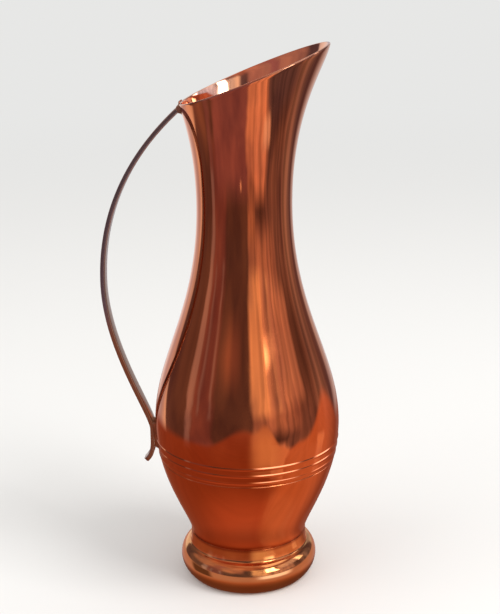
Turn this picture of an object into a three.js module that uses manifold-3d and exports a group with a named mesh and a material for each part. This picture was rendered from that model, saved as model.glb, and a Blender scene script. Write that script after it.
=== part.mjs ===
// A tall copper water jug, in millimetres, +Z up.
// The origin is the centre of the foot's flat underside. The spout points along +X, the handle along -X.
// Two spun shells make the body, a spun dish makes the foot, and a flat strip makes the handle.
// Every piece is sheet metal; solder joins them.

import * as THREE from "three";
import { mergeVertices } from "three/addons/utils/BufferGeometryUtils.js";
import Module from "manifold-3d";

// ---------------------------------------------------------------- driving dimensions

const HEIGHT = 250; // table to the tip of the spout
const SHEET = 1; // thickness of the copper sheet
const GAP = 0.3; // clearance between neighbouring pieces, where the solder film runs
const FACETS = 48; // flats round a spun piece

const WAIST = { radius: 27.2, height: 22 }; // where the bowl meets the foot
const BELLY = { radius: 43, height: 76 }; // widest part
const NECK = { radius: 21.5, height: 180 }; // slimmest part
const LIP = { radius: 38.2, height: 252 }; // the trumpet's end before its mouth is cut
const MOUTH_SLOPE = THREE.MathUtils.degToRad(21.1); // the mouth rises towards the spout

const REED_HEIGHTS = [62.1, 65.7, 69.3]; // three fine raised lines under the widest part
const REED_HALF_WIDTH = 0.9;
const REED_RISE = 0.18;

const SEAM_HEIGHT = 60.2; // top edge of the bowl
const LAP_DEPTH = 5.2; // how far the upper shell reaches down inside the bowl
const BOWL_CORNER = 5; // radius where the bowl turns under to its flat bottom

const FOOT = { radius: 32.3, equator: 8.4, standing: 27.7 };
const COVE_END = { radius: 28.2, height: 15.6 }; // where the foot's hollow curve turns into its bulge
const FOOT_COLLAR = { radius: 27.2, bottom: 17.2, top: 19.6 }; // straight wall inside the hollow curve
const VENT = { radius: 1.2, offset: 12 }; // lets air out of the hollow foot while it is soldered

const STRAP = { width: 7, thickness: 2.2 };
const STRAP_TOP = { x: -28.3, z: 221.9 }; // upper end, against the low side of the mouth
const STRAP_BOW = { x: -64.9, z: 142.7 }; // farthest out from the body
const STRAP_LANDING = 71.6; // height where the strip comes to lie on the belly
const STRAP_LEAVING = 66; // height where its tail turns away again
const STRAP_TAIL = { x: -48.2, z: 55.4 };

const BELLY_SOLDER_DEPTH = 2.4;
const FOOT_SOLDER = { inner: 25.3, outer: 26.75, tip: 26.85, height: 17.6, tall: 1.7 };
const TOP_POOL = { x: -27.6, z: 219.6, deep: 3.4, wide: 5.2, tall: 4.4 };
const LOWER_POOL = { x: -43.2, z: 70, deep: 1.7, wide: 5.2, tall: 9 };

// ---------------------------------------------------------------- outlines

// A cubic curve from its four control points, each a radius and a height.
function curve(...controls) {
  return new THREE.CubicBezierCurve(...controls.map(([radius, height]) => new THREE.Vector2(radius, height)));
}

// Outside of the body from the waist up. Its three curves meet upright at the belly and at the neck.
const OUTLINE = [
  curve(
    [WAIST.radius, WAIST.height],
    [WAIST.radius + 0.2, WAIST.height + 7.2],
    [BELLY.radius, BELLY.height - 26.7],
    [BELLY.radius, BELLY.height],
  ),
  curve(
    [BELLY.radius, BELLY.height],
    [BELLY.radius, BELLY.height + 31.4],
    [NECK.radius, NECK.height - 49.9],
    [NECK.radius, NECK.height],
  ),
  curve(
    [NECK.radius, NECK.height],
    [NECK.radius, NECK.height + 45],
    [LIP.radius + 0.3, LIP.height - 9.3],
    [LIP.radius, LIP.height],
  ),
];

// Side of the foot: from the table up to its equator, over its bulge, and up a hollow curve to the waist.
const FOOT_TOP = [WAIST.radius + GAP + 0.05, WAIST.height];
const FOOT_BELOW = curve(
  [FOOT.standing, 0],
  [FOOT.standing + 0.8, 0],
  [FOOT.radius, FOOT.equator - 4.6],
  [FOOT.radius, FOOT.equator],
);
const FOOT_BULGE = curve(
  [FOOT.radius, FOOT.equator],
  [FOOT.radius, FOOT.equator + 3.6],
  [COVE_END.radius + 2.2, COVE_END.height - 0.9],
  [COVE_END.radius, COVE_END.height],
);
const FOOT_COVE = curve(
  [COVE_END.radius, COVE_END.height],
  [COVE_END.radius - 0.75, COVE_END.height + 0.31],
  [FOOT_TOP[0], FOOT_TOP[1] - 3.2],
  FOOT_TOP,
);

// The body outline's radius at a height, found by halving, and its slope there (radius gained per height).
function outlineAt(height) {
  const part = OUTLINE.find((candidate) => height <= candidate.v3.y) ?? OUTLINE.at(-1);
  let low = 0;
  let high = 1;
  for (let step = 0; step < 40; step += 1) {
    const middle = (low + high) / 2;
    if (part.getPoint(middle).y < height) low = middle;
    else high = middle;
  }
  const tangent = part.getTangent(low);
  return { radius: part.getPoint(low).x, slope: tangent.x / tangent.y };
}

// A profile point a given depth under the body's outer surface; a negative depth stands proud of it.
function under(height, depth = 0) {
  const { radius, slope } = outlineAt(height);
  const length = Math.hypot(1, slope);
  return new THREE.Vector2(radius - depth / length, height + (depth * slope) / length);
}

// Points on a curve that runs upwards, moved inwards by a depth.
function sunk(side, depth, from, to, count) {
  return spread(from, to, count).map((t) => {
    const tangent = side.getTangent(t);
    const inwards = new THREE.Vector2(-tangent.y, tangent.x);
    return side.getPoint(t).addScaledVector(inwards, depth);
  });
}

// Evenly spaced numbers, both ends included.
function spread(from, to, count) {
  return Array.from({ length: count }, (_, i) => THREE.MathUtils.lerp(from, to, i / (count - 1)));
}

// Part of a circle about (radius, height), its angles in degrees from the outward direction.
function arc(radius, height, size, fromDegrees, toDegrees, count) {
  return spread(fromDegrees, toDegrees, count).map((degrees) => {
    const angle = THREE.MathUtils.degToRad(degrees);
    return new THREE.Vector2(radius + size * Math.cos(angle), height + size * Math.sin(angle));
  });
}

// ---------------------------------------------------------------- solids

const wasm = await Module();
wasm.setup();

// Turns a profile of (radius, height) points about the Z axis.
function turned(profile, facets = FACETS) {
  return new THREE.LatheGeometry(profile, facets).rotateX(Math.PI / 2);
}

function closedLoop(points) {
  return [...points, points[0].clone()];
}

function toSolid(geometry) {
  const bare = geometry.clone();
  bare.deleteAttribute("normal");
  bare.deleteAttribute("uv");
  const merged = mergeVertices(bare, 1e-4);
  return new wasm.Manifold(
    new wasm.Mesh({
      numProp: 3,
      vertProperties: new Float32Array(merged.getAttribute("position").array),
      triVerts: new Uint32Array(merged.index.array),
    }),
  );
}

function toGeometry(solid) {
  const mesh = solid.getMesh();
  const geometry = new THREE.BufferGeometry();
  geometry.setAttribute("position", new THREE.BufferAttribute(mesh.vertProperties, 3));
  geometry.setIndex(new THREE.BufferAttribute(mesh.triVerts, 1));
  geometry.computeVertexNormals();
  return geometry;
}

// ---------------------------------------------------------------- materials

function metal(color, roughness, metalness = 1) {
  return new THREE.MeshStandardMaterial({ color, roughness, metalness });
}

const copper = () => metal(0xc4683f, 0.18);
const footCopper = () => metal(0xcf8a4e, 0.2);
const solder = () => metal(0xb58a5c, 0.42, 0.9);

function piece(name, geometry, material) {
  const mesh = new THREE.Mesh(geometry, material);
  mesh.name = name;
  return mesh;
}

// ---------------------------------------------------------------- body shells

// Mouth, neck, shoulder and reeded belly, with a stepped-in skirt that fits inside the bowl.
function upperShell() {
  const start = SEAM_HEIGHT + GAP;
  const skirtEnd = SEAM_HEIGHT - LAP_DEPTH;
  const skirtOuter = SHEET + GAP;
  const skirtInner = skirtOuter + SHEET;
  const aboveReeds = REED_HEIGHTS.at(-1) + 5 * REED_HALF_WIDTH;
  const aboveStep = start + 3 * SHEET;
  const reeds = REED_HEIGHTS.flatMap((height) => [
    under(height - REED_HALF_WIDTH),
    under(height, -REED_RISE),
    under(height + REED_HALF_WIDTH),
  ]);
  const outside = [...spread(aboveReeds, HEIGHT, 22), LIP.height].map((height) => under(height));
  const inside = spread(LIP.height, aboveStep, 16).map((height) => under(height, SHEET));
  inside[0].y = LIP.height;
  const profile = closedLoop([
    under(skirtEnd, skirtOuter),
    under(start, skirtOuter),
    under(start),
    ...reeds,
    ...outside,
    ...inside,
    under(start, skirtInner),
    under(skirtEnd, skirtInner),
  ]);
  return toGeometry(toSolid(turned(profile)).subtract(aboveMouth()));
}

// Everything above the slanting plane of the mouth.
function aboveMouth() {
  const size = HEIGHT;
  const heightOnAxis = HEIGHT - outlineAt(HEIGHT).radius * Math.tan(MOUTH_SLOPE);
  const box = new THREE.BoxGeometry(size, size, size)
    .translate(0, 0, size / 2)
    .rotateY(-MOUTH_SLOPE)
    .translate(0, 0, heightOnAxis);
  return toSolid(box);
}

// Lower belly down to the waist, then under to a flat bottom inside the foot.
function lowerBowl() {
  const cornerRadius = WAIST.radius - BOWL_CORNER;
  const bottom = WAIST.height - BOWL_CORNER;
  const aboveWaist = WAIST.height + 3 * SHEET;
  const outside = spread(aboveWaist, SEAM_HEIGHT, 8).map((height) => under(height));
  const inside = spread(SEAM_HEIGHT, aboveWaist, 7).map((height) => under(height, SHEET));
  inside[0].y = SEAM_HEIGHT;
  return turned([
    new THREE.Vector2(0, bottom),
    ...arc(cornerRadius, WAIST.height, BOWL_CORNER, -90, 0, 5),
    ...outside,
    ...inside,
    ...arc(cornerRadius, WAIST.height, BOWL_CORNER - SHEET, 0, -90, 5),
    new THREE.Vector2(0, bottom + SHEET),
  ]);
}

// ---------------------------------------------------------------- foot

// A spun dish with bulging sides and a flat underside. Its edge is filed thin where it meets the waist.
function footDish() {
  const dish = turned([
    new THREE.Vector2(0, 0),
    ...sunk(FOOT_BELOW, 0, 0, 1, 6),
    ...sunk(FOOT_BULGE, 0, 0.2, 1, 5),
    ...sunk(FOOT_COVE, 0, 0.3, 1, 4),
    new THREE.Vector2(FOOT_COLLAR.radius, FOOT_COLLAR.top),
    new THREE.Vector2(FOOT_COLLAR.radius, FOOT_COLLAR.bottom),
    ...sunk(FOOT_BULGE, SHEET, 1, 0, 5),
    ...sunk(FOOT_BELOW, SHEET, 0.8, 0, 5),
    new THREE.Vector2(0, SHEET),
  ]);
  const vent = new THREE.CylinderGeometry(VENT.radius, VENT.radius, 4 * SHEET, 12)
    .rotateX(Math.PI / 2)
    .translate(0, -VENT.offset, SHEET / 2);
  return toGeometry(toSolid(dish).subtract(toSolid(vent)));
}

// ---------------------------------------------------------------- handle

// Centre line of the strip from the side: down and out from the lip, in to lie on the belly, then a tail.
function strapPath() {
  const at = (x, z) => new THREE.Vector3(x, 0, z);
  const lying = -(BELLY.radius + GAP + STRAP.thickness / 2);
  const top = at(STRAP_TOP.x, STRAP_TOP.z);
  const bow = at(STRAP_BOW.x, STRAP_BOW.z);
  const landing = at(lying, STRAP_LANDING);
  const leaving = at(lying, STRAP_LEAVING);
  const tail = at(STRAP_TAIL.x, STRAP_TAIL.z);
  const bend = (from, leave, arrive, to) => new THREE.CubicBezierCurve3(from, leave, arrive, to);
  const path = new THREE.CurvePath();
  path.add(bend(top, at(top.x - 18, top.z - 16.2), at(bow.x, bow.z + 38), bow));
  path.add(bend(bow, at(bow.x, bow.z - 32), at(lying, landing.z + 7.6), landing));
  path.add(new THREE.LineCurve3(landing, leaving));
  path.add(bend(leaving, at(lying, leaving.z - 5), at(tail.x + 2.8, tail.z + 2.6), tail));
  return path;
}

// The strip as a solid. Clearance grows it on every side, for cutting a neighbour.
function strip(clearance = 0) {
  const path = strapPath();
  const count = 44;
  const half = STRAP.thickness / 2 + clearance;
  const outer = [];
  const inner = [];
  for (let i = 0; i <= count; i += 1) {
    const point = path.getPointAt(i / count);
    const along = path.getTangentAt(i / count);
    if (i === 0) point.addScaledVector(along, -clearance);
    if (i === count) point.addScaledVector(along, clearance);
    outer.push(new THREE.Vector2(point.x + half * along.z, point.z - half * along.x));
    inner.push(new THREE.Vector2(point.x - half * along.z, point.z + half * along.x));
  }
  const side = new THREE.Shape([...outer, ...inner.reverse()]);
  const width = STRAP.width + 2 * clearance;
  return new THREE.ExtrudeGeometry(side, { depth: width, bevelEnabled: false })
    .translate(0, 0, -width / 2)
    .rotateX(Math.PI / 2);
}

// ---------------------------------------------------------------- solder

// Ring of solder under the edge of the lap, inside the bowl.
function bellySeamSolder() {
  const top = SEAM_HEIGHT - LAP_DEPTH - GAP;
  const outer = SHEET + GAP;
  return turned(
    closedLoop([under(top, outer), under(top, outer + SHEET), under(top - BELLY_SOLDER_DEPTH, outer)]),
  );
}

// Ring of solder in the corner between the bowl's bottom and the top of the foot.
function footSeamSolder() {
  const { inner, outer, tip, height, tall } = FOOT_SOLDER;
  return turned(
    closedLoop([
      new THREE.Vector2(tip, height + tall),
      new THREE.Vector2(inner, height),
      new THREE.Vector2(outer, height),
    ]),
  );
}

// The space the body takes up, hollow and all, with clearance round it and round its reeds.
function bodyEnvelope() {
  const clearance = (height) => (height < BELLY.height ? GAP + REED_RISE : GAP);
  const side = spread(2 * WAIST.height, LIP.height, 34).map((height) => under(height, -clearance(height)));
  const ends = [new THREE.Vector2(0, side[0].y), new THREE.Vector2(0, side.at(-1).y)];
  return toSolid(turned([ends[0], ...side, ends[1]], 2 * FACETS));
}

// A pool of solder round the strip, shaped by the strip and by the body.
function solderPool({ x, z, deep, wide, tall }) {
  const pool = new THREE.SphereGeometry(1, 20, 12).scale(deep, wide, tall).translate(x, 0, z);
  return toGeometry(toSolid(pool).subtract(bodyEnvelope()).subtract(toSolid(strip(GAP))));
}

// ---------------------------------------------------------------- assembly

const jug = new THREE.Group();
jug.add(
  piece("upper_shell", upperShell(), copper()),
  piece("lower_bowl", lowerBowl(), copper()),
  piece("foot_dish", footDish(), footCopper()),
  piece("handle_strap", strip(), copper()),
  piece("belly_seam_solder", bellySeamSolder(), solder()),
  piece("foot_seam_solder", footSeamSolder(), solder()),
  piece("handle_top_solder", solderPool(TOP_POOL), solder()),
  piece("handle_lower_solder", solderPool(LOWER_POOL), solder()),
);

export default jug;
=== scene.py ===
# The looks of a tall copper water jug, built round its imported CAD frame. Blender 4.5, metres, +Z up.
# The spout points along +X and the handle along -X, as in the frame.
# Node trees are written with the short names of the class Nodes. Lengths on the jug are in units of MM.

import math
from collections import namedtuple

import bpy
import numpy as np
from mathutils import Matrix, Vector, noise


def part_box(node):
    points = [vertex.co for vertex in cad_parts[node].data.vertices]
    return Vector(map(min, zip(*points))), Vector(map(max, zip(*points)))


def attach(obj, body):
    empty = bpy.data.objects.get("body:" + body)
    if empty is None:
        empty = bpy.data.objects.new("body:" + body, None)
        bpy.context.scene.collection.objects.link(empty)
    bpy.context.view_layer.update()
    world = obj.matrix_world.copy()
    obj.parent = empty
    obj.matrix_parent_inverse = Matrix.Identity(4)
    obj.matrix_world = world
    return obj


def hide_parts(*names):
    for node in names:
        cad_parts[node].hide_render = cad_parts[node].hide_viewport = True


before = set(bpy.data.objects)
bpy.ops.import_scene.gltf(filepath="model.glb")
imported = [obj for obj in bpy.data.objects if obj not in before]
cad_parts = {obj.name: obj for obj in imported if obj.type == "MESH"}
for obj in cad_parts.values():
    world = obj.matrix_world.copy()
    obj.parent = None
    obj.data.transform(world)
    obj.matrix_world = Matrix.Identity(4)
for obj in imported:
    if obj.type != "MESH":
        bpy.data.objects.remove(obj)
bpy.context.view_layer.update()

# ---------------------------------------------------------------- sizes, worked out from the frame

SHELL_LOW, SHELL_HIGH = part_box("upper_shell")
BOWL_LOW, BOWL_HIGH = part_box("lower_bowl")
FOOT_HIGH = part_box("foot_dish")[1]
STRAP_LOW, STRAP_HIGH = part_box("handle_strap")

HEIGHT = SHELL_HIGH.z
MM = HEIGHT / 250  # one millimetre of the jug at its modelled height

SHEET = 1.0 * MM
HAIRLINE = 0.04 * MM  # what is left of a closed seam
SEGMENTS = 192  # steps round every spun piece

WAIST = (27.2 * MM, FOOT_HIGH.z)
BELLY = (43.0 * MM, 76.0 * MM)
NECK = (21.5 * MM, 180.0 * MM)
LIP = (38.2 * MM, 252.0 * MM)
MOUTH_RISE = math.tan(math.radians(21.1))  # the mouth climbs this much per metre towards the spout

REED_HEIGHTS = [62.1 * MM, 65.7 * MM, 69.3 * MM]
REED_HALF_WIDTH = 0.9 * MM
REED_RISE = 0.18 * MM
REEDED_TOP = 71.5 * MM  # above this the belly is plain

SEAM = BOWL_HIGH.z
LAP_DEPTH = SEAM - SHELL_LOW.z
BOWL_BOTTOM = BOWL_LOW.z
BOWL_CORNER = WAIST[1] - BOWL_BOTTOM

FOOT_RADIUS = FOOT_HIGH.x
FOOT_EQUATOR = 8.4 * MM
FOOT_STANDING = 27.7 * MM
COVE_END = (28.2 * MM, 15.6 * MM)  # where the foot's hollow curve turns into its bulge
FOOT_COLLAR = WAIST[0] - 0.2 * MM  # straight wall inside the hollow curve
VENT_RADIUS = 1.2 * MM
VENT_OFFSET = 12.0 * MM
VENT_SIDES = 24

STRAP_WIDTH = STRAP_HIGH.y - STRAP_LOW.y
STRAP_THICKNESS = 2.2 * MM
STRAP_TOUCHING = -(BELLY[0] + 0.3 * MM + STRAP_THICKNESS / 2)  # its centre line where it lies on the belly


# ---------------------------------------------------------------- curves

def bezier(points, t):
    """Points on a cubic curve at the parameters t."""
    a, b, c, d = (np.array(p, float) for p in points)
    t = np.asarray(t, float)[..., None]
    return (1 - t) ** 3 * a + 3 * (1 - t) ** 2 * t * b + 3 * (1 - t) * t * t * c + t ** 3 * d


def offset(point, radius_mm, height_mm):
    """A point moved outwards and upwards by so many millimetres."""
    return (point[0] + radius_mm * MM, point[1] + height_mm * MM)


LOWER_BODY = [WAIST, offset(WAIST, 0.2, 7.2), offset(BELLY, 0, -26.7), BELLY]
SHOULDER = [BELLY, offset(BELLY, 0, 31.4), offset(NECK, 0, -49.9), NECK]
TRUMPET = [NECK, offset(NECK, 0, 45), offset(LIP, 0.3, -9.3), LIP]

FOOT_TOP = (WAIST[0] + 2 * HAIRLINE, WAIST[1])
FOOT_BELOW = [(FOOT_STANDING, 0), (FOOT_STANDING + 0.8 * MM, 0), (FOOT_RADIUS, FOOT_EQUATOR - 4.6 * MM),
              (FOOT_RADIUS, FOOT_EQUATOR)]
FOOT_BULGE = [(FOOT_RADIUS, FOOT_EQUATOR), (FOOT_RADIUS, FOOT_EQUATOR + 3.6 * MM),
              offset(COVE_END, 2.2, -0.9), COVE_END]
FOOT_COVE = [COVE_END, offset(COVE_END, -0.75, 0.31), offset(FOOT_TOP, 0, -3.2), FOOT_TOP]

FINE = np.linspace(0, 1, 400)
OUTLINE = np.concatenate([
    bezier(LOWER_BODY, FINE)[:-1],
    bezier(SHOULDER, FINE)[:-1],
    bezier(TRUMPET, FINE),
])
OUTLINE_SLOPE = np.gradient(OUTLINE[:, 0], OUTLINE[:, 1])


def radius_at(height):
    """Radius of the body's plain outline."""
    return np.interp(height, OUTLINE[:, 1], OUTLINE[:, 0])


def slope_at(height):
    """How much the outline widens per metre upwards."""
    return np.interp(height, OUTLINE[:, 1], OUTLINE_SLOPE)


def reed_rise(height):
    """How far the three fine beads stand proud of the plain outline."""
    rise = np.zeros_like(np.asarray(height, float))
    for middle in REED_HEIGHTS:
        away = np.clip(np.abs(height - middle) / REED_HALF_WIDTH, 0, 1)
        rise = rise + REED_RISE * 0.5 * (1 + np.cos(math.pi * away))
    return rise


def under(height, depth):
    """Radius and height of the point a depth under the body's outer surface."""
    slope = slope_at(height)
    length = np.sqrt(1 + slope ** 2)
    return radius_at(height) - depth / length, height + depth * slope / length


# ---------------------------------------------------------------- meshes

def make_piece(name, vertices, faces, material, slot, *stands_for):
    """A smooth piece fixed to the jug, in place of the CAD nodes that it stands for."""
    mesh = bpy.data.meshes.new(name)
    mesh.from_pydata([tuple(v) for v in vertices], [], faces)
    mesh.validate()
    mesh.update()
    mesh.shade_smooth()
    obj = bpy.data.objects.new(name, mesh)
    bpy.context.scene.collection.objects.link(obj)
    mesh.materials.append(material)
    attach(obj, "root")
    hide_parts(*stands_for)
    return obj


def ring_angles(segments=SEGMENTS):
    return np.arange(segments) * 2 * math.pi / segments


def stitch(rows, columns, wrap_rows=False):
    """Quads over a grid of rows, closed round each row, and from the last row to the first if asked."""
    faces = []
    for i in range(rows if wrap_rows else rows - 1):
        a, b = i * columns, (i + 1) % rows * columns
        for j in range(columns):
            k = (j + 1) % columns
            faces.append((a + j, a + k, b + k, b + j))
    return faces


def grid_of_rings(radius, height):
    """Vertices of rings whose radius and height are arrays of shape (rows, columns)."""
    angle = ring_angles(radius.shape[1])[None, :]
    return np.stack([radius * np.cos(angle), radius * np.sin(angle), height + 0 * angle], -1).reshape(-1, 3)


UNEVENNESS = 0.10 * MM
DENT_SPACING = 34 * MM
RIPPLE_SPACING = 2.9 * MM  # wavelength divided by two pi
RIPPLE = 0.004 * MM


def hand_made(radius, height):
    """Slight unevenness left by spinning and use, in metres, never outwards."""
    angle = ring_angles(radius.shape[1])[None, :] + 0 * radius
    x, y = np.cos(angle) * radius, np.sin(angle) * radius
    depth = np.empty_like(radius)
    scale = 1 / DENT_SPACING
    for index in np.ndindex(radius.shape):
        spot = Vector((x[index] * scale, y[index] * scale, height[index] * scale * 0.6))
        depth[index] = noise.noise(spot)
    ripple = np.sin(height / RIPPLE_SPACING) * RIPPLE
    return -UNEVENNESS * (0.5 + 0.5 * depth) + ripple - RIPPLE


# ---------------------------------------------------------------- body shells

def mouth_height(angle, lowered):
    """Height at which the outline meets the slanting mouth, for each angle round the jug."""
    tip = radius_at(HEIGHT)
    on_axis = HEIGHT - tip * MOUTH_RISE - lowered
    low, high = np.full_like(angle, NECK[1]), np.full_like(angle, LIP[1])
    for _ in range(40):
        middle = (low + high) / 2
        below = middle < on_axis + radius_at(middle) * np.cos(angle) * MOUTH_RISE
        low, high = np.where(below, middle, low), np.where(below, high, middle)
    return low


def build_upper_shell(material):
    """Mouth, neck, shoulder and reeded belly, with the skirt that laps inside the bowl."""
    angle = ring_angles()
    rounding = 0.6 * SHEET
    top = mouth_height(angle, rounding)
    start = SEAM + HAIRLINE
    reeded = np.linspace(start, REEDED_TOP, 60)
    plain = np.linspace(REEDED_TOP, NECK[1], 64)[1:]
    share = np.linspace(0, 1, 52)[1:]
    stretched = NECK[1] + share[:, None] * (top - NECK[1])[None, :]
    level = np.concatenate([reeded, plain])[:, None] + 0 * angle[None, :]
    outer_h = np.concatenate([level, stretched])
    outer_r = radius_at(outer_h) + reed_rise(outer_h)
    uneven = hand_made(outer_r, outer_h)
    outer_r = outer_r + uneven

    inner_h0 = outer_h[::-1][::2]
    inner_h0 = inner_h0[inner_h0[:, 0] > start + 3 * SHEET]
    inner_r, inner_h = under(inner_h0, SHEET)
    inner_r = inner_r + uneven[::-1][::2][: len(inner_h0)]

    rim_r, rim_h = rounded_edge(outer_r[-1], outer_h[-1], inner_r[0], inner_h[0], 7)
    skirt_end = SEAM - LAP_DEPTH
    skirt_outer = 1.3 * SHEET  # the skirt lies under the bowl's wall, a little apart from it
    skirt_inner = skirt_outer + SHEET
    corners = [(start, skirt_inner), (skirt_end, skirt_inner),
               (skirt_end, skirt_outer), (start, skirt_outer)]
    skirt = [under(np.full(1, h), depth) for h, depth in corners]
    skirt_r = np.array([r[0] for r, _ in skirt])[:, None] + 0 * angle[None, :]
    skirt_h = np.array([h[0] for _, h in skirt])[:, None] + 0 * angle[None, :]
    radius = np.concatenate([outer_r, rim_r, inner_r, skirt_r])
    height = np.concatenate([outer_h, rim_h, inner_h, skirt_h])
    faces = stitch(len(radius), len(angle), wrap_rows=True)
    return make_piece("upper_shell_fine", grid_of_rings(radius, height), faces, material,
                      "polished_copper", "upper_shell")


def rounded_edge(r0, h0, r1, h1, count):
    """Rows of a half circle that joins the ends of two parallel surfaces."""
    middle_r, middle_h = (r0 + r1) / 2, (h0 + h1) / 2
    half_r, half_h = (r0 - r1) / 2, (h0 - h1) / 2
    turns = np.linspace(0, math.pi, count + 2)[1:-1][:, None]
    radius = middle_r + half_r * np.cos(turns) - half_h * np.sin(turns)
    height = middle_h + half_h * np.cos(turns) + half_r * np.sin(turns)
    return radius, height


POLE = 2 * MM  # radius of the flat caps that close a spun piece round the axis


def turned(name, profile, material, slot, *stands_for):
    """A piece spun from a profile that starts and ends at POLE, where a flat cap closes it."""
    profile = np.array(profile)
    angle = ring_angles()
    radius = profile[:, :1] + 0 * angle[None, :]
    height = profile[:, 1:] + 0 * angle[None, :]
    vertices = grid_of_rings(radius, height)
    faces = stitch(len(profile), len(angle))
    last = len(vertices) - len(angle)
    faces.append(tuple(reversed(range(len(angle)))))
    faces.append(tuple(range(last, last + len(angle))))
    return make_piece(name, vertices, faces, material, slot, *stands_for)


def corner(radius, height, size, start, end, count=10):
    """Profile points round an arc, from one angle in degrees to another."""
    angle = np.radians(np.linspace(start, end, count))
    return np.stack([radius + size * np.cos(angle), height + size * np.sin(angle)], -1)


def build_lower_bowl(material):
    """Lower belly down to the waist, then under to a flat bottom inside the foot."""
    heights = np.linspace(WAIST[1], SEAM, 72)[1:]
    outside = np.stack([radius_at(heights) - 0.05 * MM, heights], -1)
    inner_r, inner_h = under(heights[::-1][::2], SHEET)
    inside = np.stack([inner_r, np.minimum(inner_h, SEAM)], -1)
    turn = WAIST[0] - BOWL_CORNER
    profile = np.concatenate([
        [[POLE, BOWL_BOTTOM]],
        corner(turn, WAIST[1], BOWL_CORNER, -90, 0),
        outside,
        inside,
        corner(turn, WAIST[1], BOWL_CORNER - SHEET, 0, -90),
        [[POLE, BOWL_BOTTOM + SHEET]],
    ])
    return turned("lower_bowl_fine", profile, material, "polished_copper", "lower_bowl")


# ---------------------------------------------------------------- foot

def sunk(points, depth, start, end, count):
    """Points on a curve between two of its parameters, moved inwards by a depth."""
    t = np.linspace(start, end, count)
    here = bezier(points, t)
    step = 1e-4
    ahead = bezier(points, np.minimum(t + step, 1)) - bezier(points, np.maximum(t - step, 0))
    length = np.linalg.norm(ahead, axis=1, keepdims=True)
    inwards = np.stack([-ahead[:, 1], ahead[:, 0]], -1) / length
    return here + depth * inwards


def build_foot(material):
    """A spun dish with bulging sides under a hollow curve, flat underneath, filed thin at the waist."""
    profile = np.concatenate([
        [[POLE, 0]],
        sunk(FOOT_BELOW, 0, 0, 1, 22)[:-1],
        sunk(FOOT_BULGE, 0, 0, 1, 30)[:-1],
        sunk(FOOT_COVE, 0, 0, 1, 22),
        [(FOOT_COLLAR, WAIST[1] - 2.0 * MM), (FOOT_COLLAR, COVE_END[1] + 1.6 * MM)],
        sunk(FOOT_BULGE, SHEET, 1, 0, 14),
        sunk(FOOT_BELOW, SHEET, 0.8, 0, 12),
        [[POLE, SHEET]],
    ])
    foot = turned("foot_dish_fine", profile, material, "foot_copper", "foot_dish")
    # The drill is turned by half a side, so that its corners miss the dish's own edges.
    bpy.ops.mesh.primitive_cylinder_add(vertices=VENT_SIDES, radius=VENT_RADIUS, depth=4 * SHEET,
                                        location=(0, -VENT_OFFSET, SHEET / 2),
                                        rotation=(0, 0, math.pi / VENT_SIDES))
    drill = bpy.context.object
    cut = foot.modifiers.new("vent", "BOOLEAN")
    cut.object = drill
    cut.operation = "DIFFERENCE"
    cut.solver = "EXACT"
    bpy.context.view_layer.update()
    drilled = bpy.data.meshes.new_from_object(foot.evaluated_get(bpy.context.evaluated_depsgraph_get()))
    foot.modifiers.clear()
    foot.data = drilled
    bpy.data.objects.remove(drill)
    return foot


# ---------------------------------------------------------------- handle

STRAP_TOP = (-28.3 * MM, 221.9 * MM)
STRAP_BOW = (-64.9 * MM, 142.7 * MM)
STRAP_LANDING = (STRAP_TOUCHING, 71.6 * MM)
STRAP_LEAVING = (STRAP_TOUCHING, 66.0 * MM)
STRAP_TAIL = (-48.2 * MM, 55.4 * MM)
STRAP_CURVES = [
    [STRAP_TOP, offset(STRAP_TOP, -18, -16.2), offset(STRAP_BOW, 0, 38), STRAP_BOW],
    [STRAP_BOW, offset(STRAP_BOW, 0, -32), offset(STRAP_LANDING, 0, 7.6), STRAP_LANDING],
    [STRAP_LANDING, offset(STRAP_LANDING, 0, -2), offset(STRAP_LEAVING, 0, 2), STRAP_LEAVING],
    [STRAP_LEAVING, offset(STRAP_LEAVING, 0, -5), offset(STRAP_TAIL, 2.8, 2.6), STRAP_TAIL],
]
STRAP_STATIONS = 220
STRAP_EDGE = 0.45 * MM  # how far its long edges are rounded
TAIL_SHARE = 0.015  # the last part of its length, which narrows to the tail's end
TAIL_WIDTH = 0.55  # of the full width, at the tail's end


def strap_path(count):
    """Points and directions along the strip's centre line, in the plane y = 0, as x and z."""
    t = np.linspace(0, 1, 200)
    curves = [bezier(points, t) for points in STRAP_CURVES]
    line = np.concatenate([curves[0]] + [curve[1:] for curve in curves[1:]])
    steps = np.linalg.norm(np.diff(line, axis=0), axis=1)
    along = np.concatenate([[0], np.cumsum(steps)])
    even = np.linspace(0, along[-1], count)
    points = np.stack([np.interp(even, along, line[:, k]) for k in range(2)], -1)
    directions = np.gradient(points, axis=0)
    directions /= np.linalg.norm(directions, axis=1, keepdims=True)
    return points, directions


def strip_section(width, thickness, rounding, steps=5):
    """Across and through offsets round a rounded rectangle, counter-clockwise."""
    points = []
    for side_y, side_t, start in [(1, 1, 0), (-1, 1, 90), (-1, -1, 180), (1, -1, 270)]:
        for angle in np.radians(np.linspace(start, start + 90, steps)):
            points.append((side_y * (width / 2 - rounding) + rounding * math.cos(angle),
                           side_t * (thickness / 2 - rounding) + rounding * math.sin(angle)))
    return np.array(points)


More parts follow.
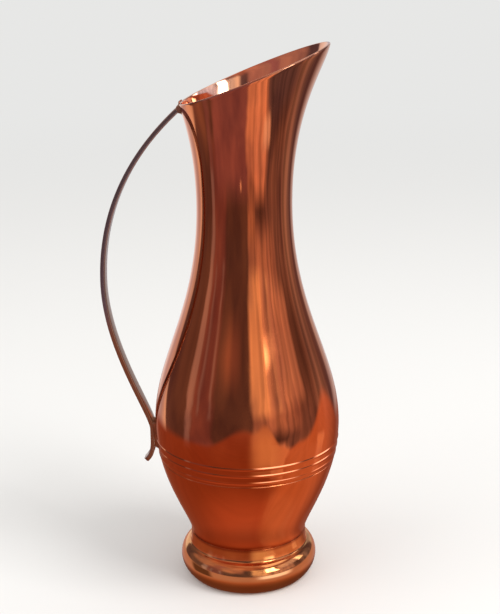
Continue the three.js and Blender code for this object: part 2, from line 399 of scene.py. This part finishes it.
def build_strap(material):
    """The flat strip handle, soldered to the lip and to the belly, with an outward curl at its tail."""
    points, directions = strap_path(STRAP_STATIONS)
    vertices = []
    share = np.linspace(0, 1, STRAP_STATIONS)
    for (x, z), (dx, dz), s in zip(points, directions, share):
        into_tail = max(0.0, (s - (1 - TAIL_SHARE)) / TAIL_SHARE)
        rounding_off = math.sqrt(max(0.0, 1 - into_tail ** 2))
        width = STRAP_WIDTH * (TAIL_WIDTH + (1 - TAIL_WIDTH) * rounding_off)
        section = strip_section(width, STRAP_THICKNESS, STRAP_EDGE)
        for across, through in section:
            vertices.append((x + through * dz, across, z - through * dx))
    columns = len(section)
    last = (STRAP_STATIONS - 1) * columns
    faces = [tuple(reversed(f)) for f in stitch(STRAP_STATIONS, columns)]
    faces.append(tuple(range(columns)))
    faces.append(tuple(reversed(range(last, last + columns))))
    return make_piece("handle_strap_fine", vertices, faces, material, "handle_copper", "handle_strap")


# ---------------------------------------------------------------- solder at the handle's ends

FILLET_SUNK = 0.12 * MM  # its thin rim ends this far inside the body's sheet
FILLET_BACK = 0.5 * MM  # its hidden back lies this far inside
FILLET_GRID = 45


def build_fillet(name, node_name, material, middle, half_up, heap, reach):
    """A bead of solder on the body's handle side, heaped against the strap and hollowing out to nothing."""
    half_across = STRAP_WIDTH / 2
    across = np.linspace(-half_across - reach, half_across + reach, FILLET_GRID)
    up = np.linspace(-half_up - reach, half_up + reach, FILLET_GRID)
    y, climb = np.meshgrid(across, up)
    z = middle + climb
    beyond = np.hypot(np.maximum(np.abs(y) - half_across, 0), np.maximum(np.abs(climb) - half_up, 0))
    raised = heap * np.clip(1 - beyond / reach, 0, 1) ** 2
    radius, slope = radius_at(z), slope_at(z)
    x = -np.sqrt(radius ** 2 - y ** 2)
    place = np.stack([x, y, z], -1)
    normal = np.stack([x / radius, y / radius, -slope], -1) / np.sqrt(1 + slope ** 2)[..., None]
    outer = place + normal * (raised - FILLET_SUNK)[..., None]
    inner = place - normal * FILLET_BACK
    rows, columns = y.shape
    vertices = np.concatenate([outer.reshape(-1, 3), inner.reshape(-1, 3)])
    under_it = rows * columns
    faces = []
    for i in range(rows - 1):
        for j in range(columns - 1):
            a, b = i * columns + j, (i + 1) * columns + j
            faces.append((a, b, b + 1, a + 1))
            faces.append((under_it + a, under_it + a + 1, under_it + b + 1, under_it + b))
    border = [(0, j) for j in range(columns - 1)] + [(i, columns - 1) for i in range(rows - 1)]
    border += [(rows - 1, j) for j in range(columns - 1, 0, -1)] + [(i, 0) for i in range(rows - 1, 0, -1)]
    loop = [i * columns + j for i, j in border]
    for k, here in enumerate(loop):
        following = loop[(k + 1) % len(loop)]
        faces.append((here, following, under_it + following, under_it + here))
    return make_piece(name, vertices, faces, material, "solder", node_name)


# ---------------------------------------------------------------- materials

class Nodes:
    """Short names for building a node tree."""

    def __init__(self, tree):
        self.tree = tree
        tree.nodes.clear()

    def add(self, kind, inputs=None, **settings):
        node = self.tree.nodes.new(kind)
        for key, value in settings.items():
            setattr(node, key, value)
        for key, value in (inputs or {}).items():
            self.feed(node.inputs[key], value)
        return node

    def feed(self, socket, value):
        if isinstance(value, bpy.types.NodeSocket):
            self.tree.links.new(value, socket)
        elif isinstance(value, bpy.types.Node):
            self.tree.links.new(value.outputs[0], socket)
        else:
            socket.default_value = value

    def math(self, operation, *values):
        return self.add("ShaderNodeMath", dict(enumerate(values)), operation=operation)

    def product(self, first, *others):
        for other in others:
            first = self.math("MULTIPLY", first, other)
        return first

    def vector(self, operation, first, second=None, output="Vector"):
        inputs = {0: first} if second is None else {0: first, 1: second}
        return self.add("ShaderNodeVectorMath", inputs, operation=operation).outputs[output]

    def scaled(self, vector, factor):
        inputs = {0: vector, "Scale": factor}
        return self.add("ShaderNodeVectorMath", inputs, operation="SCALE").outputs["Vector"]

    def noise(self, place, scale, detail):
        return self.add("ShaderNodeTexNoise", {"Vector": place, "Scale": scale, "Detail": detail})

    def smooth(self, value, low, high, out_low=0.0, out_high=1.0):
        """Eases from out_low at low to out_high at high."""
        return self.add("ShaderNodeMapRange", {"Value": value, "From Min": low, "From Max": high,
                                               "To Min": out_low, "To Max": out_high},
                        interpolation_type="SMOOTHSTEP")

    def near(self, value, middle, full, none):
        """1 up to a distance of full from the middle, easing to 0 at a distance of none."""
        away = self.math("ABSOLUTE", self.math("SUBTRACT", value, middle))
        return self.smooth(away, full, none, 1.0, 0.0)

    def mix(self, factor, first, second):
        """The first colour where the factor is 0, the second where it is 1."""
        node = self.add("ShaderNodeMix", data_type="RGBA")
        self.feed(node.inputs["Factor"], factor)
        self.feed(node.inputs[6], first)
        self.feed(node.inputs[7], second)
        return node.outputs[2]


BODY_TONES = (0.80, 0.27, 0.10), (0.74, 0.23, 0.085)  # bright and tarnished
FOOT_TONES = (0.86, 0.42, 0.165), (0.80, 0.34, 0.125)
# Painted shade: the dark tone that the copper takes towards the crease at the waist.
CREASE_SHADE = (0.36, 0.06, 0.015)
# Painted highlight: paler copper on the mouth's cut edge, so that the rim shows lighter.
RIM_HIGHLIGHT = (0.72, 0.36, 0.22)
# Painted highlight: the inside is painted paler, and palest beside the handle.
INSIDE_PAINTED_PALE = (0.86, 0.42, 0.25)
INSIDE_PAINTED_HIGHLIGHT = (0.97, 0.66, 0.50)
PATCH_SCALE, SMUDGE_SCALE = 26.0, 90.0
LINES_ROUND, LINES_UP = 1.2, 2600.0  # how fine the turning lines are, per radian and per metre
STRIP_FACE = (0.34, 0.20, 0.145)
STRIP_EDGE = (0.50, 0.42, 0.35)
STRIP_GRAIN = (60.0, 4200.0, 60.0)  # how fine the brushing is along each axis, finest across the strip
SOLDER_BRIGHT = (0.62, 0.34, 0.18)
SOLDER_STAINED = (0.34, 0.18, 0.10)


def rgba(colour):
    return (*colour, 1.0)


def new_material(name):
    material = bpy.data.materials.new(name)
    material.use_nodes = True
    return material, Nodes(material.node_tree)


def metal_surface(n, colour, roughness, relief, strength, depth):
    """Bare metal whose fine relief only tilts its normals."""
    bump = n.add("ShaderNodeBump", {"Strength": strength, "Distance": depth, "Height": relief})
    shader = n.add("ShaderNodeBsdfPrincipled", {
        "Base Color": colour, "Metallic": 1.0, "Roughness": roughness, "Normal": bump.outputs[0]})
    n.add("ShaderNodeOutputMaterial", {"Surface": shader})


def round_coordinates(n):
    """A point's position, its angle round the jug's axis in radians, and its x, y and z apart."""
    place = n.add("ShaderNodeTexCoord").outputs["Object"]
    split = n.add("ShaderNodeSeparateXYZ", {0: place})
    angle = n.math("ARCTAN2", split.outputs[1], split.outputs[0])
    return place, angle, split


def inside_shell(n, split):
    """1 where a surface faces the jug's axis, 0 where it faces away."""
    outwards = n.add("ShaderNodeCombineXYZ", {0: split.outputs[0], 1: split.outputs[1]})
    radial = n.vector("NORMALIZE", outwards)
    normal = n.add("ShaderNodeNewGeometry").outputs["Normal"]
    facing_out = n.vector("DOT_PRODUCT", radial, normal, "Value")
    return n.smooth(facing_out, -0.2, 0.0, 1.0, 0.0)


def on_cut_edge(n, split):
    """1 on the mouth's slanting edge, 0 below it."""
    edge_on_axis = HEIGHT - radius_at(HEIGHT) * MOUTH_RISE
    along_mouth = n.math("MULTIPLY_ADD", split.outputs[0], -MOUTH_RISE, split.outputs[2])
    above_edge = n.math("SUBTRACT", along_mouth, edge_on_axis)
    return n.smooth(above_edge, -0.75 * MM, -0.45 * MM)


def copper(name, tone, deep_tone, roughness, crease_height, crease_spread):
    """Polished copper with turning lines, smudges, soft tarnish patches, painted crease shade, painted rim
    and inner highlights.
    """
    material, n = new_material(name)
    place, angle, split = round_coordinates(n)
    height = split.outputs[2]
    patches = n.noise(place, PATCH_SCALE, 4.0)
    tarnish = n.smooth(patches.outputs[0], 0.42, 0.72)
    colour = n.mix(tarnish, rgba(tone), rgba(deep_tone))
    # Painted shade: the copper is darkened towards the crease at the waist.
    from_crease = n.math("ABSOLUTE", n.math("SUBTRACT", height, crease_height))
    crease_shaded = n.smooth(from_crease, crease_spread * 0.2, crease_spread, 0.7, 0.0)
    colour = n.mix(crease_shaded, colour, rgba(CREASE_SHADE))
    # Painted highlight: the mouth's cut edge is painted paler so that the rim shows lighter.
    colour = n.mix(on_cut_edge(n, split), colour, rgba(RIM_HIGHLIGHT))
    # Painted highlight: inside, the copper is painted paler, most of all beside the handle, where
    # reflections are bright.
    highlight_beside_handle = n.smooth(split.outputs[0], -14 * MM, 0.0, 1.0, 0.0)
    inside_painted_tone = n.mix(highlight_beside_handle, rgba(INSIDE_PAINTED_PALE), rgba(INSIDE_PAINTED_HIGHLIGHT))
    colour = n.mix(inside_shell(n, split), colour, inside_painted_tone)

    unrolled = n.add("ShaderNodeCombineXYZ", {0: n.math("MULTIPLY", angle, LINES_ROUND),
                                              1: n.math("MULTIPLY", height, LINES_UP)})
    turning_lines = n.noise(unrolled, 1.0, 2.0)
    smudges = n.noise(place, SMUDGE_SCALE, 6.0)
    worn = n.smooth(smudges.outputs[0], 0.35, 0.75, roughness * 0.75, roughness * 1.7)
    metal_surface(n, colour, worn, turning_lines, 0.05, 0.00002)
    return material


def strip_copper():
    """Rolled copper strip, brushed lengthwise, its cut edges paler than its oxidised faces."""
    material, n = new_material("strip_copper")
    place = n.add("ShaderNodeTexCoord").outputs["Object"]
    across = n.add("ShaderNodeSeparateXYZ", {0: place}).outputs[1]
    brushed = n.noise(n.vector("MULTIPLY", place, STRIP_GRAIN), 1.0, 3.0)
    edge = n.smooth(n.math("ABSOLUTE", across), STRAP_WIDTH * 0.43, STRAP_WIDTH * 0.49)
    colour = n.mix(edge, rgba(STRIP_FACE), rgba(STRIP_EDGE))
    rough = n.smooth(brushed.outputs[0], 0.3, 0.7, 0.14, 0.26)
    metal_surface(n, colour, rough, brushed, 0.25, 0.00003)
    return material


def solder_metal():
    """Dull filed solder, pitted and stained by flux."""
    material, n = new_material("solder_metal")
    place = n.add("ShaderNodeTexCoord").outputs["Object"]
    stain = n.noise(place, 320.0, 5.0)
    colour = n.mix(n.smooth(stain.outputs[0], 0.35, 0.7), rgba(SOLDER_BRIGHT), rgba(SOLDER_STAINED))
    metal_surface(n, colour, 0.38, stain, 0.5, 0.0001)
    return material


# ---------------------------------------------------------------- surroundings seen in the polish

# A soft-edged panel of light or shade round the jug. Azimuth 0 is in front of the jug and 90 is on the
# spout's side; elevation is above the jug's own level. Angles are in degrees and colours are linear.
# Lean is how far its middle moves round the jug for each degree of elevation. Later cards lie over earlier.
Card = namedtuple("Card", "name azimuth elevation half_width half_height softness colour lean",
                  defaults=[0.0])

ROOM = (0.13, 0.095, 0.11)
WOBBLE = 3.5  # degrees by which the panels' sides wander
CARDS = [
    Card("upper_wall", 0, 84, 180, 42, 10, (0.46, 0.21, 0.15)),
    Card("ceiling", 0, 95, 180, 22, 6, (0.80, 0.72, 0.68)),
    Card("upper_left", -62, 36, 54, 15, 7, (0.40, 0.25, 0.23)),
    Card("upper_red", -20, 36, 12, 17, 9, (0.52, 0.30, 0.26)),
    Card("upper_mauve", -54, 34, 9, 17, 6, (0.29, 0.15, 0.18)),
    Card("left_low", -98, -48, 22, 22, 8, (0.27, 0.19, 0.19)),
    Card("mauve_left", -56, 0, 15, 30, 5, (0.26, 0.14, 0.17)),
    Card("low_front", -25, -40, 38, 22, 5, (0.29, 0.17, 0.25)),
    Card("lilac_stripe", -74, 0, 4, 22, 2, (0.36, 0.34, 0.48)),
    Card("lilac_foot", -74, -31, 4, 10, 3, (0.30, 0.20, 0.27)),
    Card("stripe_outer", -62, 8, 2, 9, 2, (0.35, 0.30, 0.40)),
    Card("stripe_inner", -45, 8, 2, 9, 2, (0.35, 0.30, 0.40)),
    Card("spark", -3, -20, 1.6, 1.2, 0.8, (1.1, 0.95, 0.9)),
    Card("right_flank", 90, -14, 34, 16, 8, (0.20, 0.15, 0.18)),
    Card("right_middle", 44, -1, 32, 8, 5, (0.42, 0.29, 0.29)),
    Card("right_shade", 84, -52, 27, 17, 8, (0.12, 0.11, 0.18)),
    Card("right_low", 34, -48, 22, 31, 4, (0.80, 0.55, 0.49)),
    Card("right_low_bright", 54, -35, 6, 5, 3, (0.82, 0.76, 0.80)),
    Card("neck_glow", 21, -14, 9, 9, 4, (0.50, 0.34, 0.30)),
    Card("cream", 24, 22, 12, 19, 4, (0.86, 0.70, 0.56)),
    Card("curtain", 60, 16, 25, 13, 4, (0.56, 0.42, 0.42)),
    Card("cream_outer", 47, 18, 3, 15, 2, (0.76, 0.62, 0.56)),
    Card("bright_corner", 88, 33, 27, 10, 4, (0.90, 0.80, 0.80)),
    Card("grey_right", 118, -5, 12, 34, 6, (0.27, 0.23, 0.26)),
    Card("pale_right", 166, 0, 18, 90, 6, (0.52, 0.53, 0.53)),
    Card("wall_left", -154, 0, 26, 90, 2.5, (0.78, 0.79, 0.80), -0.8),
    Card("wall_back", 180, 0, 14, 90, 6, (0.66, 0.67, 0.68)),
    Card("skylight", 78, 62, 34, 9, 3, (1.3, 1.15, 1.0)),
    Card("window_high", 44, 30, 11, 12, 2, (6.0, 5.6, 5.0)),
    Card("window_side", 108, 29, 5, 10, 2, (2.6, 2.4, 2.3)),
]

CURTAIN = (75.0, 50.0, 70.0)  # azimuth, and how far its folds reach fully and at all
CURTAIN_FOLDS = (0.13, 0.24)  # fineness and depth
CLUTTER_DIM = (0.66, 0.62, 0.74)
CLUTTER_BRIGHT = (1.30, 1.22, 1.16)


def bearings(n, direction):
    """Azimuth and elevation of a direction, in degrees."""
    split = n.add("ShaderNodeSeparateXYZ", {0: n.vector("NORMALIZE", direction)})
    forwards = n.math("MULTIPLY", split.outputs[1], -1.0)
    azimuth = n.math("DEGREES", n.math("ARCTAN2", split.outputs[0], forwards))
    return azimuth, n.math("DEGREES", n.math("ARCSINE", split.outputs[2]))


def folds(n, azimuth, fineness, depth):
    """Brightness of a curtain's upright folds, varying with azimuth only."""
    wave = n.add("ShaderNodeTexNoise", {"W": azimuth, "Scale": fineness, "Detail": 1.4},
                 noise_dimensions="1D")
    return n.smooth(wave.outputs[0], 0.35, 0.65, 1 - depth, 1 + depth)


def with_card(n, colour, card, azimuth, elevation):
    """A colour with a card laid over it."""
    above = n.math("SUBTRACT", elevation, float(card.elevation))
    middle = n.math("MULTIPLY_ADD", above, card.lean, float(card.azimuth))
    turn = n.math("WRAP", n.math("SUBTRACT", azimuth, middle), 180.0, -180.0)
    across = n.near(turn, 0.0, card.half_width - card.softness, card.half_width + card.softness)
    up = n.near(above, 0.0, card.half_height - card.softness, card.half_height + card.softness)
    return n.mix(n.product(across, up), colour, rgba(card.colour))


def surroundings():
    """A node group that gives the colour of the studio in a direction."""
    tree = bpy.data.node_groups.new("surroundings", "ShaderNodeTree")
    tree.interface.new_socket("Direction", in_out="INPUT", socket_type="NodeSocketVector")
    tree.interface.new_socket("Color", in_out="OUTPUT", socket_type="NodeSocketColor")
    n = Nodes(tree)
    direction = n.add("NodeGroupInput").outputs[0]
    azimuth, elevation = bearings(n, direction)
    clutter = n.noise(direction, 2.6, 3.0)
    azimuth = n.math("ADD", azimuth, n.smooth(clutter.outputs[0], 0.25, 0.75, -WOBBLE, WOBBLE))
    colour = rgba(ROOM)
    for card in CARDS:
        colour = with_card(n, colour, card, azimuth, elevation)
    pleated = n.near(azimuth, *CURTAIN)
    strength = n.add("ShaderNodeMix", {"Factor": pleated, 2: 1.0, 3: folds(n, azimuth, *CURTAIN_FOLDS)})
    mottle = n.smooth(clutter.outputs[1], 0.30, 0.70)
    mottle = n.mix(mottle, rgba(CLUTTER_DIM), rgba(CLUTTER_BRIGHT))
    n.add("NodeGroupOutput", {0: n.vector("MULTIPLY", n.scaled(colour, strength), mottle)})
    return tree


def seen_in(n, group, direction):
    """The colour of the surroundings in a direction."""
    node = n.add("ShaderNodeGroup", node_tree=group)
    n.feed(node.inputs[0], direction)
    return node.outputs[0]


BACKDROP = (0.80, 0.80, 0.79)
PALE_ROOM = (0.80, 0.80, 0.80)  # what lights the floor


def build_world(group):
    """Pale to the camera and to the floor; the polished metal sees the surroundings."""
    world = bpy.data.worlds.new("studio")
    bpy.context.scene.world = world
    world.use_nodes = True
    n = Nodes(world.node_tree)
    ray = n.add("ShaderNodeLightPath")
    seen = seen_in(n, group, n.add("ShaderNodeTexCoord").outputs["Generated"])
    pale = n.mix(ray.outputs["Is Camera Ray"], rgba(PALE_ROOM), rgba(BACKDROP))
    colour = n.mix(ray.outputs["Is Glossy Ray"], pale, seen)
    background = n.add("ShaderNodeBackground", {"Color": colour, "Strength": 1.0})
    n.add("ShaderNodeOutputWorld", {"Surface": background})


# ---------------------------------------------------------------- table seen in the polish

# Painted reflection: to glossy rays the floor glows with a varnished table's colours, with painted shadow,
# sheen, glints and glare, while to the camera it stays plain. Azimuths and elevations are in degrees, as
# for the cards, and distances along the floor are in metres from the jug's axis. A spread is a middle, and
# how far from it an effect stays full and how far it reaches.
Spread = namedtuple("Spread", "middle full none")

WOOD = (0.27, 0.078, 0.036)
WOOD_BELOW = (0.47, 0.15, 0.085)
# Painted light: the reflected wood on the spout's side, as the window lights it.
WOOD_WINDOW_LIT = (0.58, 0.24, 0.13)
GRAIN = (9.0, 70.0, 1.0)  # how fine the grain is along each axis
WOOD_SHADOW = (0.028, 0.044)  # where the jug's shadow on the wood starts to lighten and where it ends
VARNISH_MOST = (0.30, 0.25, 0.21)  # the brightest that the varnish mirrors

GLINT = (2.2, 2.0, 1.8)
GLINT_ACROSS = Spread(43.0, 6.0, 13.0)
GLINT_UP = Spread(-8.0, 6.0, 12.0)
GLINT_AWAY = (0.20, 0.26)  # where the glint starts to fade and where it has gone
GLOW = (0.88, 0.58, 0.38)
GLOW_ACROSS = Spread(27.0, 4.0, 26.0)
GLOW_UP = Spread(-22.0, 5.0, 22.0)

GLARE = (2.6, 2.6, 3.4)
GLARE_ACROSS = [Spread(42.0, 18.0, 34.0), Spread(108.0, 8.0, 20.0)]
REEDS_UP = Spread(REED_HEIGHTS[1], 5 * MM, 8 * MM)

FOOT_BULGE_TOP = (12.5 * MM, 15.5 * MM)  # between these heights the foot's view gives way to the body's
FOOT_WOOD = (0.56, 0.36, 0.34)
FOOT_WOOD_BELOW = (0.50, 0.20, 0.12)
FOOT_SHADOW = (0.032, 0.044)
FOOT_SHEEN = (1.5, 1.6, 2.0)
FOOT_SHEEN_ACROSS = Spread(48.0, 16.0, 36.0)
# Painted dark patch in the foot's reflection, on its left.
FOOT_DARK = (0.13, 0.07, 0.05)
FOOT_DARK_ACROSS = Spread(-82.0, 14.0, 26.0)
FOOT_DARK_UP = Spread(-16.0, 10.0, 16.0)

# Elevation of the table's edge as the body shows it, and the lobes it has: azimuth, half width, degrees up.
TABLE_EDGE = -18.0
TABLE_LOBES = [(0, 48, 13.0), (28, 18, 10.0), (58, 14, -3.0), (114, 38, 13.0)]
FOOT_TABLE_EDGE = -2.0
FOOT_TO_BODY = (16 * MM, 26 * MM)  # heights between which the foot's edge of the table becomes the body's
EDGE_SOFTNESS = 2.5
TABLE_SEEN_BELOW = 125 * MM  # higher up, the polish shows only the room
TABLE_FADE = 10 * MM


def wood_seen(n, place, azimuth, elevation, away):
    """Warm wood, painted paler on the window-lit spout's side and straight below, painted shadow where the
    jug stands.
    """
    wood = n.mix(n.smooth(elevation, -45.0, -72.0), rgba(WOOD), rgba(WOOD_BELOW))
    wood = n.mix(n.near(azimuth, 90.0, 25.0, 62.0), wood, rgba(WOOD_WINDOW_LIT))
    grain = n.noise(n.vector("MULTIPLY", place, GRAIN), 1.0, 4.0)
    shadow = n.smooth(away, *WOOD_SHADOW, 0.25, 1.0)
    return n.scaled(wood, n.product(n.smooth(grain.outputs[0], 0.3, 0.7, 0.94, 1.06), shadow))


def varnished(n, group, wood, direction, steepness):
    """Wood under a varnish that mirrors the surroundings, more so at a glancing angle."""
    mirrored = n.vector("MULTIPLY", direction, (1.0, 1.0, -1.0))
    sheen = n.math("MULTIPLY_ADD", n.math("POWER", n.math("SUBTRACT", 1.0, steepness), 5.0), 0.96, 0.04)
    mirror = n.scaled(seen_in(n, group, mirrored), sheen)
    return n.vector("ADD", wood, n.vector("MINIMUM", mirror, VARNISH_MOST))


def window_lit(n, table, azimuth, elevation, away):
    """The table with the window's small glint and wide glow on it."""
    beside = n.smooth(away, *GLINT_AWAY, 1.0, 0.0)
    glint = n.product(n.near(azimuth, *GLINT_ACROSS), n.near(elevation, *GLINT_UP), beside)
    table = n.mix(glint, table, rgba(GLINT))
    glow = n.product(n.near(azimuth, *GLOW_ACROSS), n.near(elevation, *GLOW_UP), 0.75)
    return n.mix(glow, table, rgba(GLOW))


def seen_by_foot(n, table, azimuth, elevation, away, at_foot):
    """The table painted in the foot's bulge: golden, with painted sheen towards the window and a dark patch
    on the left.
    """
    tone = n.mix(n.smooth(elevation, -20.0, -45.0), rgba(FOOT_WOOD), rgba(FOOT_WOOD_BELOW))
    tone = n.scaled(tone, n.smooth(away, *FOOT_SHADOW, 0.30, 1.0))
    table = n.mix(n.product(at_foot, 0.85), table, tone)
    sheen = n.product(n.near(azimuth, *FOOT_SHEEN_ACROSS), n.smooth(elevation, -22.0, -13.0), at_foot)
    table = n.mix(sheen, table, rgba(FOOT_SHEEN))
    dark = n.product(n.near(azimuth, *FOOT_DARK_ACROSS), n.near(elevation, *FOOT_DARK_UP), at_foot)
    return n.mix(dark, table, rgba(FOOT_DARK))


def glare_on_reeds(n, azimuth, elevation, seen_from):
    """1 where the raised lines catch the window."""
    windowward = n.math("MAXIMUM", *[n.near(azimuth, *spread) for spread in GLARE_ACROSS])
    return n.product(n.near(seen_from, *REEDS_UP), windowward, n.smooth(elevation, -22.0, -14.0))


def on_table(n, azimuth, elevation, seen_from):
    """1 where the polish shows the table, 0 where it shows the room beyond its edge."""
    edge = TABLE_EDGE
    for middle, half_width, lift in TABLE_LOBES:
        aside = n.math("ABSOLUTE", n.math("SUBTRACT", azimuth, float(middle)))
        edge = n.math("ADD", n.smooth(aside, 0.0, float(half_width), lift, 0.0), edge)
    by_body = n.smooth(seen_from, *FOOT_TO_BODY)
    edge = n.math("MULTIPLY_ADD", n.math("SUBTRACT", edge, FOOT_TABLE_EDGE), by_body, FOOT_TABLE_EDGE)
    under_edge = n.smooth(n.math("SUBTRACT", elevation, edge), -EDGE_SOFTNESS, EDGE_SOFTNESS, 1.0, 0.0)
    low_down = n.smooth(seen_from, TABLE_SEEN_BELOW - TABLE_FADE, TABLE_SEEN_BELOW + TABLE_FADE, 1.0, 0.0)
    return n.product(under_edge, low_down)


def polish_sees(n, group, place, direction, travelled):
    """The painted reflection of the floor in the polish: a warm varnished table that ends a little way off.
    """
    azimuth, elevation = bearings(n, direction)
    away = n.vector("LENGTH", place, output="Value")
    steepness = n.math("SINE", n.math("RADIANS", n.math("ABSOLUTE", elevation)))
    seen_from = n.math("MULTIPLY", travelled, steepness)  # height of the spot on the jug that mirrors it
    at_foot = n.smooth(seen_from, *FOOT_BULGE_TOP, 1.0, 0.0)
    glare = glare_on_reeds(n, azimuth, elevation, seen_from)

    table = wood_seen(n, place, azimuth, elevation, away)
    table = varnished(n, group, table, direction, steepness)
    table = window_lit(n, table, azimuth, elevation, away)
    table = seen_by_foot(n, table, azimuth, elevation, away, at_foot)
    table = n.mix(glare, table, rgba(GLARE))
    shown = n.math("MAXIMUM", on_table(n, azimuth, elevation, seen_from), glare)
    return n.mix(shown, seen_in(n, group, direction), table)


# ---------------------------------------------------------------- floor and lamps

FLOOR_RADIUS = 12.0
FLOOR_COLOUR = (0.80, 0.79, 0.77)
FLOOR_FADE = (0.25, 1.5)  # metres from the jug between which the floor becomes backdrop


def floor_material(group):
    """Plain pale floor, which glows for glossy rays only with a painted reflection of a varnished table."""
    material, n = new_material("pale_floor")
    ray = n.add("ShaderNodeLightPath")
    geometry = n.add("ShaderNodeNewGeometry")
    place = geometry.outputs["Position"]
    direction = n.scaled(geometry.outputs["Incoming"], -1.0)
    seen = polish_sees(n, group, place, direction, ray.outputs["Ray Length"])
    # Painted reflection: the floor glows with the table's colours for glossy rays only.
    glow = n.add("ShaderNodeEmission", {"Color": seen})
    matt = n.add("ShaderNodeBsdfDiffuse", {"Color": rgba(FLOOR_COLOUR)})
    far = n.add("ShaderNodeEmission", {"Color": rgba(BACKDROP)})
    fade = n.smooth(n.vector("LENGTH", place, output="Value"), *FLOOR_FADE)
    plain_floor = n.add("ShaderNodeMixShader", {0: fade, 1: matt, 2: far})
    shown = n.add("ShaderNodeMixShader", {0: ray.outputs["Is Glossy Ray"], 1: plain_floor, 2: glow})
    n.add("ShaderNodeOutputMaterial", {"Surface": shown})
    return material


def build_floor(group):
    """A wide round floor under the jug."""
    ring = [(FLOOR_RADIUS * math.cos(a), FLOOR_RADIUS * math.sin(a), 0) for a in ring_angles(64)]
    mesh = bpy.data.meshes.new("floor")
    mesh.from_pydata(ring, [], [tuple(range(len(ring)))])
    mesh.update()
    floor = bpy.data.objects.new("floor", mesh)
    bpy.context.scene.collection.objects.link(floor)
    mesh.materials.append(floor_material(group))


def add_area_light(name, place, size, watts):
    """A soft square lamp that lights the floor and isn't seen in the polish."""
    lamp = bpy.data.lights.new(name, "AREA")
    lamp.shape = "SQUARE"
    lamp.size = size
    lamp.energy = watts
    obj = bpy.data.objects.new(name, lamp)
    bpy.context.scene.collection.objects.link(obj)
    obj.location = place
    obj.rotation_euler = (Vector((0, 0, HEIGHT / 3)) - Vector(place)).to_track_quat("-Z", "Y").to_euler()
    obj.visible_glossy = False
    obj.visible_camera = False


# ---------------------------------------------------------------- camera

CAMERA_PLACE = Vector((39.56, -565.7, 306.7)) * MM
CAMERA_LOOK = Vector((-0.0666, 0.9529, -0.2960))
CAMERA_ROLL = math.radians(0.718)
LENS, SENSOR = 76.2, 36.0  # millimetres of the camera's own
SHIFT_X, SHIFT_Y = 0.0070, 0.0008


def build_camera():
    """The camera in front of the jug, a little above it, looking down at it."""
    data = bpy.data.cameras.new("camera")
    data.lens = LENS
    data.sensor_width = SENSOR
    data.shift_x = SHIFT_X
    data.shift_y = SHIFT_Y
    camera = bpy.data.objects.new("camera", data)
    bpy.context.scene.collection.objects.link(camera)
    camera.location = CAMERA_PLACE
    camera.rotation_mode = "QUATERNION"
    look = CAMERA_LOOK.to_track_quat("-Z", "Y")
    roll = Matrix.Rotation(-CAMERA_ROLL, 3, "Z").to_quaternion()
    camera.rotation_quaternion = look @ roll
    bpy.context.scene.camera = camera


# ---------------------------------------------------------------- assembly

body_copper = copper("body_copper", *BODY_TONES, 0.06, WAIST[1], 1.6 * MM)
foot_copper = copper("foot_copper", *FOOT_TONES, 0.08, WAIST[1], 2.0 * MM)
solder = solder_metal()
build_upper_shell(body_copper)
build_lower_bowl(body_copper)
build_foot(foot_copper)
build_strap(strip_copper())
build_fillet("top_fillet", "handle_top_solder", solder,
             middle=222.1 * MM, half_up=1.2 * MM, heap=1.7 * MM, reach=1.7 * MM)
build_fillet("lower_fillet", "handle_lower_solder", solder,
             middle=69.0 * MM, half_up=6.0 * MM, heap=1.5 * MM, reach=1.8 * MM)

# The two hidden rings of solder stay as imported from model.glb, with a material of their own.
for node_name in ("belly_seam_solder", "foot_seam_solder"):
    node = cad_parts[node_name]
    node.data.materials.clear()
    node.data.materials.append(solder)

studio = surroundings()
build_world(studio)
build_floor(studio)
add_area_light("key_light", (0.9, -0.5, 1.3), 0.8, 14)
add_area_light("fill_light", (-1.1, -0.6, 1.2), 1.2, 6)
build_camera()
bpy.context.scene.view_settings.view_transform = "Standard"


def plain(box):
    """A box as plain lists of numbers."""
    return [list(corner_point) for corner_point in box]
